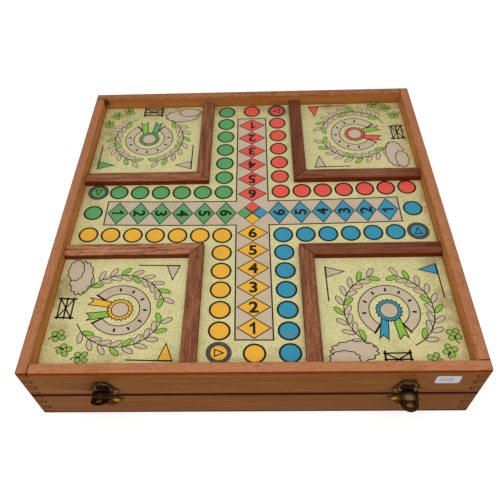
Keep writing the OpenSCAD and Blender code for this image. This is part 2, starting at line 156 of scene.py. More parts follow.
class GameBoxPrint(PropertyGroup):
    pitch: length("Track pitch", "Distance between neighbouring circles", 21.716, 15, 30)
    row: length("Row distance", "From the middle to the rows of circles", 29.45, 20, 40)
    end_reach: length("End circles", "From the middle to an end circle", 160.2, 120, 168)
    circle_d: length("Circle", "Outer diameter of a circle", 19.5, 10, 22)
    circle_line: length("Circle line", "Width of a circle's black line", 1.85, 0.3, 3)
    start_d: length("Start circle", "Outer diameter of a start circle", 21.6, 12, 24)
    start_line: length("Start ring", "Width of a start circle's dark ring", 4.0, 1, 6)
    band_w: length("Band width", "Width of the cross of home fields", 33.6, 20, 40)
    band_l: length("Band length", "Length of the cross from end to end", 295.4, 200, 330)
    band_line: length("Band line", "Width of the cross's black border", 1.3, 0.3, 2)
    square_r: length("Middle square", "Half diagonal of the middle square", 15.64, 8, 20)
    field_w: length("Home field", "Width of a home field across its arm", 30.6, 15, 34)
    field_line: length("Field line", "Width of a home field's black line", 1.0, 0.3, 2)
    digit_h: length("Number height", "Height of the numbers in the home fields", 12.2, 5, 18)
    picture_line: length("Picture line", "Width of the lines in the pictures", 0.85, 0.3, 2)
    ink_step: length("Ink layer", "Thickness of one layer of ink", 0.04, 0.01, 0.2)
    paper: colour("Paper", "Aged paper of the board", 238, 226, 170)
    speck: colour("Speckle", "Green wormy speckle printed over the paper", 158, 168, 70)
    grime: colour("Grime", "Brown stains towards the rails", 146, 118, 76)
    aged: colour("Aged paper", "Paper where it has browned", 214, 194, 152)
    dirt: colour("Dirt", "Small brown specks", 112, 96, 56)
    red: colour("Red", "Ink of the back right player", 240, 84, 72)
    green: colour("Green", "Ink of the back left player", 86, 164, 98)
    blue: colour("Blue", "Ink of the front right player", 38, 150, 182)
    yellow: colour("Yellow", "Ink of the front left player", 248, 184, 52)
    black: colour("Black", "Ink of the lines and numbers", 14, 9, 7)
    charcoal: colour("Charcoal", "Ink of the start rings", 64, 62, 64)
    taupe: colour("Taupe", "Ink of the cross and of the pictures", 208, 188, 162)
    leaf: colour("Leaf", "Light green ink of the pictures", 140, 192, 66)


class GameBoxBrass(PropertyGroup):
    bright: colour("Brass", "Rubbed brass", 196, 164, 84)
    dull: colour("Dull brass", "Brass of the hinges and screws", 150, 118, 62)
    worn: colour("Worn crust", "Brown metal where the crust is worn through", 118, 98, 72)
    rubbed: colour("Rubbed crust", "Dark crust that fingers have rubbed", 92, 74, 52)
    olive: colour("Bared brass", "Old brass where the crust has flaked off", 160, 138, 68)
    tarnish: colour("Tarnish", "Dark crust on the latches", 34, 17, 10)
    shine: colour("Shine", "Tint of the faint shine on the brass", 235, 190, 140)
    label: colour("Paper label", "Plain label on the front rail", 250, 250, 252)
    label_dim: colour("Label fibres", "Greyer fibres of the label", 190, 192, 196)
    label_smear: colour("Label smear", "Grey smears where the label is rubbed", 128, 122, 126)
    label_w: length("Label width", "Width of the paper label", 19.4, 10, 40)
    label_h: length("Label height", "Height of the paper label", 11.6, 6, 30)
    label_x: length("Label place", "Middle of the label, to the right", 153.8, 130, 165)
    label_z: length("Label level", "Middle of the label above the ground", 59.6, 48, 64)


class GameBoxStage(PropertyGroup):
    camera: FloatVectorProperty(
        name="Camera", description="Where the camera stands",
        default=(0.008956, -0.379455, 0.454516), subtype="TRANSLATION",
    )
    camera_turn: FloatVectorProperty(
        name="Camera turn", description="Rotation vector of the camera's own axes",
        default=(2.4621, -0.0035, -0.0426), subtype="XYZ",
    )
    lens: FloatProperty(name="Lens", description="Focal length", default=39.19, unit="CAMERA")
    shift_x: FloatProperty(name="Shift right", description="Lens shift", default=0.0105)
    shift_y: FloatProperty(name="Shift up", description="Lens shift", default=0.0165)
    key: FloatProperty(name="Key light", description="Power of the main lamp", default=9.6, min=0, unit="POWER")
    sky: FloatProperty(name="Room light", description="Light from all round", default=0.42, min=0)
    floor: colour("Floor", "Pale floor as the object sees it", 150, 150, 150)
    floor_seen: colour("Floor in the picture", "Pale floor as the camera sees it", 250, 250, 250)
    backdrop: colour("Backdrop", "White seen over the floor by the box", 170, 170, 170)
    backdrop_far: colour("Far backdrop", "White seen over the floor far away", 224, 224, 224)


def settings():
    """The four groups of sizes and colours."""
    scene = bpy.context.scene
    return scene.game_box_wood, scene.game_box_print, scene.game_box_brass, scene.game_box_stage


# Finishes


class Value:
    """A shader socket: an expression on it adds its Math nodes."""

    def __init__(self, finish, socket):
        self.finish = finish
        self.socket = socket

    def __add__(self, other):
        return self.finish.math("ADD", self, other)

    def __mul__(self, other):
        return self.finish.math("MULTIPLY", self, other)

    def __sub__(self, other):
        return self.finish.math("SUBTRACT", self, other)

    def __rsub__(self, other):
        return self.finish.math("SUBTRACT", other, self)

    def __abs__(self):
        return self.finish.node("ShaderNodeMath", {"operation": "ABSOLUTE"}, {0: self})

    __rmul__ = __mul__


class Finish:
    """A procedural material that is built up from nodes on the object's own coordinates."""

    def __init__(self, name):
        self.material = bpy.data.materials.new(name)
        self.material.use_nodes = True
        self.tree = self.material.node_tree
        self.tree.nodes.clear()
        self.surface = self.tree.nodes.new("ShaderNodeBsdfPrincipled")
        output = self.tree.nodes.new("ShaderNodeOutputMaterial")
        self.tree.links.new(self.surface.outputs[0], output.inputs[0])
        self.place = self.node("ShaderNodeTexCoord", output="Object")
        self.facing = self.node("ShaderNodeTexCoord", output="Normal")

    def node(self, kind, choices=None, inputs=None, output=0):
        made = self.tree.nodes.new(kind)
        for key, value in (choices or {}).items():
            if key == "stops":
                ramp = made.color_ramp
                while len(ramp.elements) < len(value):
                    ramp.elements.new(0.5)
                for element, (position, shade) in zip(ramp.elements, value):
                    element.position = position
                    element.color = (*shade, 1)
            else:
                setattr(made, key, value)
        for key, value in (inputs or {}).items():
            self.plug(made.inputs[key], value)
        return Value(self, made.outputs[output])

    def plug(self, socket, value):
        if isinstance(value, Value):
            self.tree.links.new(value.socket, socket)
        elif socket.type == "RGBA" and len(value) == 3:
            socket.default_value = (*value, 1)
        else:
            socket.default_value = value

    def parts(self, vector):
        split = self.node("ShaderNodeSeparateXYZ", inputs={0: vector})
        return [Value(self, output) for output in split.socket.node.outputs]

    def stretched(self, scale, offset=(0, 0, 0)):
        return self.node("ShaderNodeMapping", inputs={
            "Vector": self.place, "Location": offset, "Scale": scale,
        })

    def noise(self, vector, scale, detail=2.0, roughness=0.5, distortion=0.0):
        return self.node("ShaderNodeTexNoise", inputs={
            "Vector": vector, "Scale": scale, "Detail": detail,
            "Roughness": roughness, "Distortion": distortion,
        })

    def ease(self, value, low, high):
        """0 below low, 1 above high, and smooth between; low may be the larger."""
        return self.node("ShaderNodeMapRange", {"interpolation_type": "SMOOTHSTEP"}, {
            "Value": value, "From Min": low, "From Max": high,
        })

    def math(self, operation, first, second):
        return self.node("ShaderNodeMath", {"operation": operation}, {0: first, 1: second})

    def largest(self, first, second):
        return self.math("MAXIMUM", first, second)

    def blend(self, factor, first, second):
        return self.node("ShaderNodeMix", {"data_type": "RGBA"}, {0: factor, 6: first, 7: second}, 2)

    def distance(self, centre):
        inputs = {0: self.place, 1: centre}
        return self.node("ShaderNodeVectorMath", {"operation": "DISTANCE"}, inputs, "Value")

    def spot(self, centre, low, high):
        """1 nearer than low to a point, 0 past high."""
        return self.ease(self.distance(centre), high, low)

    def done(self, base, rough, metal=0.0, height=None, depth=0.0, coat=0.0, shine=0.3, tint=(1, 1, 1)):
        self.plug(self.surface.inputs["Base Color"], base)
        self.plug(self.surface.inputs["Roughness"], rough)
        self.plug(self.surface.inputs["Metallic"], metal)
        self.surface.inputs["Specular IOR Level"].default_value = shine
        self.surface.inputs["Specular Tint"].default_value = (*tint, 1)
        self.surface.inputs["Coat Weight"].default_value = coat
        self.surface.inputs["Coat Roughness"].default_value = 0.25
        if height is not None:
            bump = self.node("ShaderNodeBump", inputs={"Strength": 1.0, "Distance": depth, "Height": height})
            self.plug(self.surface.inputs["Normal"], bump)
        return self.material


def grain_scale(along, stretch):
    return tuple(stretch if axis == along else 1.0 for axis in range(3))


def finger_gaps(f, x, y, z, rim, dirty):
    """Dirt in the gaps of the joint fingers, and the seams of the top fingers on the rim.

    Each tray's first and last fingers belong to the front or back rail at the front right and back left
    corners, and to a side rail at the other two.
    """
    on_front = f.math("GREATER_THAN", abs(y), abs(x))
    corner = f.math("MINIMUM", abs(x), abs(y))
    level = abs(z - MEET) - TRAY_GAP / 2 + 2 * FINGER_H
    even = f.math("LESS_THAN", f.math("MODULO", level, 2 * FINGER_H), FINGER_H)
    front_through = f.ease(x * y, 0, -0.001)
    through = front_through * even + (1 - front_through) * (1 - even)
    met = through + on_front - 2 * through * on_front
    uprights = f.ease(abs(corner - INNER), 1.2 * MM, 0.5 * MM) * met
    ledges = f.ease(f.math("PINGPONG", level, FINGER_H / 2), 0.9 * MM, 0.3 * MM)
    ledges = ledges * f.ease(corner, INNER, INNER + MM) * 0.7
    seam_x, seam_y = (
        f.ease(abs(abs(a) - INNER), 0.8 * MM, 0.3 * MM) * f.ease(abs(b), INNER, INNER + MM)
        for a, b in ((x, y), (y, x))
    )
    seam = (seam_y * front_through + seam_x * (1 - front_through)) * rim
    return f.largest(f.largest(uprights, ledges) * dirty, seam)


def rail_wood(name, along, seed, dim):
    """Oiled close-grained wood of one rail.

    along is 0 for grain left to right and 1 for front to back; dim is how much darker the rim and inner wall
    are drawn.
    """
    wood = settings()[0]
    f = Finish(name)
    x, y, z = f.parts(f.place)
    nx, ny = f.parts(f.facing)[:2]
    shift = (0.37 * seed, 0.21 * seed, 0.13 * seed)
    long_way = f.stretched(grain_scale(along, 0.05), shift)
    broad = f.noise(long_way, 45, 2)
    growth = f.noise(long_way, 240, 3, 0.55, 0.6)
    fibre = f.noise(long_way, 1500, 3, 0.6)
    fleck = f.ease(f.noise(f.stretched(grain_scale(along, 0.16), shift), 1250, 2), 0.58, 0.68)
    worn = f.noise(f.place, 120, 4, 0.7)
    across = f.largest(abs(x), abs(y))
    base = f.blend(f.ease(growth * 0.65 + fibre * 0.35, 0.36, 0.66), wood.face_deep, wood.face)
    base = f.blend(f.ease(broad, 0.3, 0.75) * 0.3, base, wood.rim)
    # painted shade: the faces darken towards the right end and on the base tray
    base = f.blend(f.ease(x, 0, SIDE) * 0.35, base, wood.shade)
    base = f.blend(f.ease(z, MEET + MM, MEET - MM) * 0.25, base, wood.shade)
    # rubbed rim
    rim = f.ease(z, RIM - 1.1 * MM, RIM - 0.3 * MM)
    rim_wood = f.blend(f.ease(fibre * 0.6 + growth * 0.4, 0.3, 0.7) * 0.75, wood.rim, wood.rim_light)
    rim_wood = f.blend(fleck * 0.45, rim_wood, wood.rim_fleck)
    rim_wood = f.blend(f.ease(worn, 0.3, 0.75) * dim + dim * 0.3, rim_wood, wood.rim_dim)
    base = f.blend(rim, base, rim_wood)
    # varnished inner walls with a dark line under the arris, and painted shade where they meet the board
    inner = f.ease(across, INNER + 0.5 * MM, INNER + 0.15 * MM) * (1 - rim)
    inner = inner * f.ease(z, SHEET_TOP - 2 * MM, SHEET_TOP)
    inside = f.blend(f.ease(growth, 0.35, 0.7) * 0.5 * (1 - dim) + dim, wood.inside, wood.inside_deep)
    under_arris = f.ease(z, RIM - 2.4 * MM, RIM - 1.2 * MM) * f.ease(worn, 0.35, 0.55)
    inside = f.blend(under_arris * 0.6, inside, wood.stain)
    # painted shade: the inner walls are drawn darker, in the stain's colour, where they meet the board
    inside = f.blend(f.ease(z, SHEET_TOP + 2.2 * MM, SHEET_TOP) * 0.45, inside, wood.stain)
    base = f.blend(inner, base, inside)
    base = f.blend(fleck * 0.3, base, wood.face_deep)
    # end grain in the fingers
    end = f.ease(abs(nx if along == 0 else ny), 0.7, 0.8)
    base = f.blend(end * 0.4, base, wood.end_grain)
    # stain that has crept under the outer arrises and along the joint of the trays
    outer = f.ease(across, SIDE - 1.3 * MM, SIDE - 0.5 * MM)
    creep = f.ease(z + worn * (3 * MM), RIM - 1.7 * MM, RIM - 0.3 * MM)
    base = f.blend(outer * creep, base, wood.stain)
    foot = f.ease(z + worn * MM, 5 * MM, 2.8 * MM)
    base = f.blend(outer * foot * 0.9, base, wood.foot)
    # the dark line is painted shadow of the gap with dark stain, drawn 1 mm below the modelled joint, nearer to
    # where the photograph has it
    away = abs(z - MEET + MM)
    soaked = f.ease(away, 4.4 * MM, 2.2 * MM) * f.ease(worn, 0.3, 0.6)
    base = f.blend(outer * soaked * 0.4, base, wood.stain)
    base = f.blend(f.ease(away, 2.7 * MM, 1.9 * MM) * (outer * 0.8 + 0.2), base, wood.joint)
    gaps = finger_gaps(f, x, y, z, rim, f.ease(worn, 0.34, 0.5) * outer)
    base = f.blend(gaps * 0.9, base, wood.crack)
    # handling stains: an orange bloom above each latch, scuffs, a knot in the back left corner
    for latch_x in LATCH_X:
        near = f.spot((latch_x, FRONT, RIM - 8 * MM), 4 * MM, 15 * MM)
        base = f.blend(near * f.ease(worn, 0.35, 0.6) * 0.6, base, wood.bloom)
    scuff = f.ease(f.noise(f.stretched((0.5, 0.5, 1.6), shift), 95, 4, 0.75), 0.66, 0.74)
    base = f.blend(scuff * 0.4 * (1 - rim * 0.6), base, wood.scuff)
    knot = f.spot((-INNER, INNER, RIM - 5 * MM), 2 * MM, 8 * MM)
    base = f.blend(knot * 0.85, base, wood.knot)
    rough = f.ease(fibre, 0.2, 0.8) * 0.15 + 0.6
    height = fibre * 0.6 + growth * 0.4 - fleck * 0.5
    return f.done(base, rough, height=height, depth=0.00007, shine=0.08, tint=wood.shine)


def strip_wood(name, along, seed, faded, corner):
    """Stained hardwood with long dark pores.

    faded is how far light has bleached it, corner is where its mitre ends nearest the middle of the board.
    """
    wood = settings()[0]
    f = Finish(name)
    x, y = f.parts(f.place)[:2]
    nz = f.parts(f.facing)[2]
    shift = (0.19 * seed, 0.31 * seed, 0.07 * seed)
    long_way = f.stretched(grain_scale(along, 0.07), shift)
    growth = f.noise(long_way, 320, 3, 0.6, 0.4)
    fibre = f.noise(long_way, 1900, 3, 0.65)
    pores = f.ease(f.noise(f.stretched(grain_scale(along, 0.12), shift), 2100, 1), 0.57, 0.66)
    top = tuple(a + (b - a) * faded for a, b in zip(wood.strip, wood.strip_faded))
    base = f.blend(f.ease(growth * 0.6 + fibre * 0.4, 0.3, 0.66), wood.strip_deep, top)
    base = f.blend(pores * 0.55, base, wood.pore)
    mitre = f.ease(abs(abs(x) - corner[0] - abs(y) + corner[1]), 1.2 * MM, 0.5 * MM)
    base = f.blend(mitre * 0.7, base, wood.mitre)
    base = f.blend(f.ease(nz, 0.6, 0.3) * 0.92, base, wood.strip_side)
    rough = f.ease(fibre, 0.2, 0.8) * 0.2 + 0.5
    height = fibre * 0.5 - pores * 0.8
    return f.done(base, rough, height=height, depth=0.00008, shine=0.12, tint=wood.strip_shine)


def ply_wood(name):
    wood = settings()[0]
    f = Finish(name)
    long_way = f.stretched((0.06, 1, 1))
    growth = f.node("ShaderNodeTexWave", {"wave_type": "BANDS", "bands_direction": "Y"}, {
        "Vector": long_way, "Scale": 26, "Distortion": 9, "Detail": 3, "Detail Scale": 1.4,
    }, "Fac")
    fibre = f.noise(long_way, 1300, 3, 0.6)
    base = f.blend(growth * 0.45 + fibre * 0.25, wood.ply, wood.ply_deep)
    return f.done(base, fibre * 0.2 + 0.5, height=fibre, depth=0.00006)


def board_paper(name):
    """Varnished paper with a fine wormy green speckle and brown stains along the rails."""
    ink = settings()[1]
    f = Finish(name)
    x, y = f.parts(f.place)[:2]
    warped = f.noise(f.place, 900, 1, 0.5, 0.9)
    worm = f.ease(abs(warped - 0.5), 0.07, 0.03)
    drift = f.noise(f.place, 30, 3, 0.6)
    base = f.blend(worm * (f.ease(drift, 0.25, 0.6) * 0.35 + 0.5), ink.paper, ink.speck)
    base = f.blend(f.ease(drift, 0.5, 0.8) * 0.3, base, ink.aged)
    edge = f.ease(f.largest(abs(x), abs(y)), INNER - 34 * MM, INNER - 2 * MM)
    patch = f.noise(f.place, 46, 5, 0.7)
    base = f.blend(edge * f.ease(patch, 0.42, 0.66) * 0.7, base, ink.grime)
    specks = f.ease(f.noise(f.place, 620, 3, 0.8), 0.62, 0.7)
    base = f.blend(specks * (f.ease(patch, 0.42, 0.6) * 0.45 + 0.12), base, ink.dirt)
    rough = f.ease(patch, 0.3, 0.7) * 0.2 + 0.38
    return f.done(base, rough, height=warped, depth=0.00003, coat=0.05)


def board_ink(name, shade, fade):
    """Printed ink: slightly mottled, and rubbed away in places by as much as fade."""
    ink = settings()[1]
    f = Finish(name)
    mottle = f.noise(f.place, 900, 3, 0.6)
    wear = f.noise(f.place, 46, 4, 0.7)
    base = f.blend(f.ease(mottle, 0.35, 0.8) * fade * 0.4, shade, ink.paper)
    base = f.blend(f.ease(wear, 0.5, 0.68) * fade, base, ink.grime)
    rough = f.ease(mottle, 0.3, 0.7) * 0.15 + 0.36
    return f.done(base, rough, height=mottle, depth=0.00002, shine=0.15)


def aged_brass(name, worn, crust, bare, patches=()):
    """Brass under a dark crust.

    bare is how far the crust is worn through, patches are lighter rings of rubbed crust, some of them also
    painted highlights: centre, radius, width, colour.
    """
    f = Finish(name)
    mottle = f.noise(f.place, 420, 4, 0.65)
    fine = f.noise(f.place, 2400, 2, 0.6)
    grain = mottle * 0.7 + fine * 0.3
    thin = f.ease(grain, 0.4, 0.62) * bare
    base = f.blend(thin, crust, worn)
    bright = thin
    for centre, radius, width, shade in patches:
        away = abs(f.distance(centre) - radius)
        rubbed = f.ease(away, width, width * 0.35) * (f.ease(grain, 0.36, 0.52) * 0.55 + 0.45)
        base = f.blend(rubbed, base, shade)
        bright = f.largest(bright, rubbed)
    rough = 0.52 - bright * 0.14 + f.ease(fine, 0.3, 0.7) * 0.14
    tint = settings()[2].shine
    return f.done(base, rough, metal=bright * 0.1 + 0.9, height=grain, depth=0.00012, shine=0.05, tint=tint)


def label_paper(name):
    brass = settings()[2]
    f = Finish(name)
    fine = f.noise(f.place, 1500, 3, 0.6)
    smear = f.noise(f.stretched((1, 1, 2.5)), 420, 3, 0.7)
    x, z = f.parts(f.place)[::2]
    sideways = abs(x - brass.label_x + 1 * MM)
    band = f.ease(abs(z - brass.label_z), 3.2 * MM, 1.6 * MM) * f.ease(sideways, 6.5 * MM, 4.5 * MM)
    base = f.blend(f.ease(fine, 0.3, 0.7) * 0.15, brass.label, brass.label_dim)
    base = f.blend(band * f.ease(smear, 0.35, 0.6) * 0.5, base, brass.label_smear)
    return f.done(base, 0.7, height=fine, depth=0.00002, shine=0.15)


# Making pieces


def piece(name, bm, materials, body):
    """Turns a bmesh into an object that rides on a body of the frame."""
    mesh = bpy.data.meshes.new(name)
    bm.to_mesh(mesh)
    bm.free()
    for material in materials:
        mesh.materials.append(material)
    made = bpy.data.objects.new(name, mesh)
    bpy.context.scene.collection.objects.link(made)
    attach(made, body)
    return made


def softened(node, material, round_w, smooth_angle=32, edge=None):
    """A copy of a CAD node with its edges rounded as wear leaves them, standing for the node.

    edge is the material of the rounded edges, where it isn't the same.
    """
    source = frame["nodes"][node]
    bm = bmesh.new()
    bm.from_mesh(source.data)
    bmesh.ops.remove_doubles(bm, verts=bm.verts, dist=WELD)
    bmesh.ops.dissolve_limit(bm, angle_limit=FLAT, verts=bm.verts, edges=bm.edges)
    edges = [
        e for e in bm.edges
        if len(e.link_faces) == 2 and e.calc_face_angle(0) > SHARP and e.calc_length() > SHORTEST * round_w
    ]
    rounded = bmesh.ops.bevel(
        bm, geom=edges, offset=round_w, offset_type="OFFSET", affect="EDGES", segments=2, profile=0.5,
        material=-1, clamp_overlap=True,
    )
    for f in bm.faces:
        f.material_index = 0
        f.smooth = True
    if edge:
        for f in rounded["faces"]:
            f.material_index = 1
    made = piece(node + "_looks", bm, [material, edge] if edge else [material], source["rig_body"])
    made.data.set_sharp_from_angle(angle=radians(smooth_angle))
    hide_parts(node)
    return made


def face_up(bm):
    turned = [f for f in bm.faces if f.normal.z < 0]
    bmesh.ops.reverse_faces(bm, faces=turned)


def settle(bm):
    """Shifts the print as its sheet has crept: pasted a little low, sheared, and drawn out at its edges."""
    for v in bm.verts:
        x, y = v.co.x / (100 * MM), v.co.y / (100 * MM)
        v.co.x += (1 - 0.7 * y - 0.35 * x * x + 0.15 * x * y + 0.2 * y * y) * MM
        v.co.y += (-2.4 - 0.1 * x + 1.3 * y + 1.2 * x * x + 0.8 * x * y + 1.5 * y * y) * MM


def outline(bm, face, line_w, fill, line):
    """Splits a flat face into a drawn line along its border and the fill inside it."""
    face.normal_update()
    if line_w:
        ring = bmesh.ops.inset_region(
            bm, faces=[face], thickness=line_w, use_even_offset=True, use_boundary=True,
        )
        for f in ring["faces"]:
            f.material_index = line
    face.material_index = fill


def disc(bm, x, y, radius, line_w, fill, line, sides=40, stretch=1.0, turn=0.0):
    """A round or oval spot with a drawn border."""
    place = Matrix.Translation((x, y, 0)) @ Matrix.Rotation(turn, 4, "Z")
    matrix = place @ Matrix.Diagonal((1, stretch, 1, 1))
    made = bmesh.ops.create_circle(bm, cap_ends=True, segments=sides, radius=radius, matrix=matrix)
    outline(bm, made["verts"][0].link_faces[0], line_w, fill, line)


def shape(bm, points, line_w, fill, line):
    """A flat shape through a few corners, with a drawn border."""
    face = bm.faces.new([bm.verts.new((px, py, 0)) for px, py in points])
    outline(bm, face, line_w, fill, line)


def bar(bm, start, end, width, fill):
    """A straight stroke of ink."""
    a, b = Vector(start), Vector(end)
    side = (b - a).orthogonal().normalized() * (width / 2)
    shape(bm, [a + side, b + side, b - side, a - side], 0, fill, fill)


INK_NAMES = ("black", "charcoal", "red", "green", "blue", "yellow", "taupe", "leaf")
BLACK, CHARCOAL, RED, GREEN, BLUE, YELLOW, TAUPE, LEAF = range(len(INK_NAMES))
# Quarters of the board: [side left or right, side front or back, ink, turn of the picture]
QUARTERS = ((-1, 1, GREEN, pi), (1, 1, RED, pi / 2), (1, -1, BLUE, 0.0), (-1, -1, YELLOW, -pi / 2))
# Arms of the board: [direction from the middle, ink]
ARMS = (((-1, 0), GREEN), ((0, 1), RED), ((1, 0), BLUE), ((0, -1), YELLOW))


def inks():
    """The materials of the print, in the order of their numbers."""
    ink = settings()[1]
    fade = dict.fromkeys(INK_NAMES, 0.2) | {"black": 0.04}
    return [
        bpy.data.materials.get("ink_" + n) or board_ink("ink_" + n, tuple(getattr(ink, n)), fade[n])
        for n in INK_NAMES
    ]


def print_layer(name, bm, layer):
    """Lays flat work on the board's sheet as one layer of ink that rides on the lid."""
    ink = settings()[1]
    settle(bm)
    bmesh.ops.translate(bm, verts=bm.verts, vec=(0, 0, SHEET_TOP + layer * ink.ink_step))
    bm.normal_update()
    face_up(bm)
    return piece(name, bm, inks(), "lid")


class GAMEBOX_OT_rails(Operator):
    """Dress the eight finger-jointed rails in oiled wood"""

    bl_idname = "gamebox.rails"
    bl_label = "Rails"

    # How much darker each side's rim and inner wall are drawn
    DIM = {"front": 0.0, "right": 0.22, "back": 0.55, "left": 0.18}

    def execute(self, context):
        wood = settings()[0]
        for n, tray in enumerate(("lid", "base")):
            for m, (side, dim) in enumerate(self.DIM.items()):
                material = rail_wood(f"{tray}_{side}_wood", m % 2, 4 * n + m + 1, dim)
                softened(f"{tray}_{side}_rail", material, wood.edge_round)
        return {"FINISHED"}


class GAMEBOX_OT_panels(Operator):
    """Give both panels a plywood finish and the board its printed paper"""

    bl_idname = "gamebox.panels"
    bl_label = "Panels and paper"

    def execute(self, context):
        ply = ply_wood("panel_plywood")
        for node in ("base_panel", "lid_panel"):
            softened(node, ply, 0.2 * MM)
        softened("board_sheet", board_paper("board_paper"), 0.05 * MM)
        return {"FINISHED"}


class GAMEBOX_OT_strips(Operator):
    """Dress the eight mitred strips round the stables"""

    bl_idname = "gamebox.strips"
    bl_label = "Strips"
    # How far light has bleached each strip; below 0 it is darker than the plain stain
    FADED = {
        "front_left_across": 1.0, "front_left_along": 0.28,
        "front_right_across": -0.05, "front_right_along": 0.36,
        "back_left_across": 0.48, "back_left_along": 0.3,
        "back_right_across": 0.12, "back_right_along": -0.2,
    }

    def execute(self, context):
        wood = settings()[0]
        seed = 1
        for corner in ("front_left", "front_right", "back_left", "back_right"):
            boxes = [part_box(f"strip_{corner}_{way}") for way in ("across", "along")]
            foot = [min(abs(point[axis]) for box in boxes for point in box) for axis in (0, 1)]
            for along, way in enumerate(("across", "along")):
                name = f"{corner}_{way}"
                material = strip_wood(f"strip_wood_{seed}", along, seed, self.FADED[name], foot)
                softened("strip_" + name, material, wood.edge_round)
                seed += 1
        return {"FINISHED"}


class GAMEBOX_OT_hinges(Operator):
    """Dress the hinges, their pins and their screws"""

    bl_idname = "gamebox.hinges"
    bl_label = "Hinges"

    def execute(self, context):
        brass = settings()[2]
        dull = aged_brass("hinge_brass", tuple(brass.bright), tuple(brass.dull), 0.5)
        edge = aged_brass("hinge_edge_brass", tuple(brass.bright), tuple(brass.dull), 0.9)
        screws = aged_brass("screw_brass", tuple(brass.bright), tuple(brass.dull), 0.8)
        for side in ("left", "right"):
            for part in ("base_leaf", "lid_leaf", "pin"):
                softened(f"hinge_{side}_{part}", dull, settings()[0].metal_round, edge=edge)
        for tray in ("base", "lid"):
            softened(f"hinge_screws_{tray}", screws, 0.05 * MM)
        return {"FINISHED"}


class GAMEBOX_OT_latches(Operator):
    """Dress both latches in tarnished brass with rubbed spots and painted highlights"""

    bl_idname = "gamebox.latches"
    bl_label = "Latches"

    def execute(self, context):
        brass = settings()[2]
        round_w = settings()[0].metal_round
        shades = (brass.worn, brass.rubbed, brass.tarnish, brass.olive)
        worn, rubbed, crust, olive = (tuple(shade) for shade in shades)
        edge = aged_brass("latch_edge_brass", rubbed, crust, 0.8)
        for side, latch_x in zip(("left", "right"), LATCH_X):
            away = 1 if side == "left" else -1
            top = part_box(f"latch_{side}_plate")[1].z
            tips = [
                ((latch_x + way * 10 * MM, FRONT - MM, MEET + 6 * MM), 0, 4.6 * MM, worn)
                for way in (-1, 1)
            ]
            # painted highlights: the lighter rings on the shield's rim and round the dome, over rubbed crust
            shield = ((latch_x, FRONT - MM, top - 10 * MM), 6.7 * MM, MM, worn)
            dome = ((latch_x, FRONT - MM, top - 7 * MM), 2.2 * MM, 1.3 * MM, rubbed)
            plate = aged_brass(f"{side}_plate_brass", rubbed, crust, 0.75, [*tips, shield, dome])
            wing = ((latch_x + away * 6.4 * MM, FRONT - MM, MEET - 9.2 * MM), 0, 4 * MM, olive)
            tip = ((latch_x + away * 11 * MM, FRONT - MM, MEET - 7.4 * MM), 0, 2.4 * MM, worn)
            catch = aged_brass(f"{side}_catch_brass", rubbed, crust, 0.75, [tip, wing])
            low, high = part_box(f"latch_{side}_hasp")
            # painted highlight: a lighter spot on top of the hasp's bow where the lamp lights it, over rubbed
            # crust
            bow = ((latch_x, low.y * 0.45 + high.y * 0.55, high.z), 0, 5.2 * MM, rubbed)
            hasp = aged_brass(f"{side}_hasp_brass", rubbed, crust, 0.3, [bow])
            for part, material in (("plate", plate), ("pin", plate), ("hasp", hasp), ("catch", catch)):
                softened(f"latch_{side}_{part}", material, round_w, edge=edge)
        nails = aged_brass("nail_brass", worn, crust, 0.7)
        for tray in ("lid", "base"):
            softened(f"latch_nails_{tray}", nails, 0.05 * MM)
        return {"FINISHED"}


class GAMEBOX_OT_track(Operator):
    """Print the ring of circles that the counters run on"""

    bl_idname = "gamebox.track"
    bl_label = "Track"

    def execute(self, context):
        ink = settings()[1]
        bm = bmesh.new()
        marks = bmesh.new()
        for sx, sy, shade, turn in QUARTERS:
            row = [(sx * (ink.row + k * ink.pitch), sy * ink.row) for k in range(7)]
            column = [(sx * ink.row, sy * (ink.row + k * ink.pitch)) for k in range(1, 7)]
            # a start circle closes the row in two quarters and the column in the other two
            start = row[-1] if sx * sy < 0 else column[-1]
            for x, y in row + column:
                if (x, y) == start:
                    disc(bm, x, y, ink.start_d / 2, ink.start_line, shade, CHARCOAL, 48)
                    self.mark(marks, x, y, turn, shade)
                else:
                    disc(bm, x, y, ink.circle_d / 2, ink.circle_line, shade, BLACK)
        for (ax, ay), shade in ARMS:
            x, y = ax * ink.end_reach, ay * ink.end_reach
            disc(bm, x, y, ink.circle_d / 2, ink.circle_line, shade, BLACK)
        print_layer("track_circles", bm, 1)
        print_layer("start_marks", marks, 2)
        return {"FINISHED"}

    def mark(self, bm, x, y, turn, shade):
        """A plain arrowhead that shows where a counter sets out."""
        around = Matrix.Rotation(turn, 2)
        corners = [Vector((x, y)) + around @ Vector(c) * MM for c in ((-4.2, -4), (4.2, -4), (0, 5.2))]
        shape(bm, corners, 1.1 * MM, shade, BLACK)


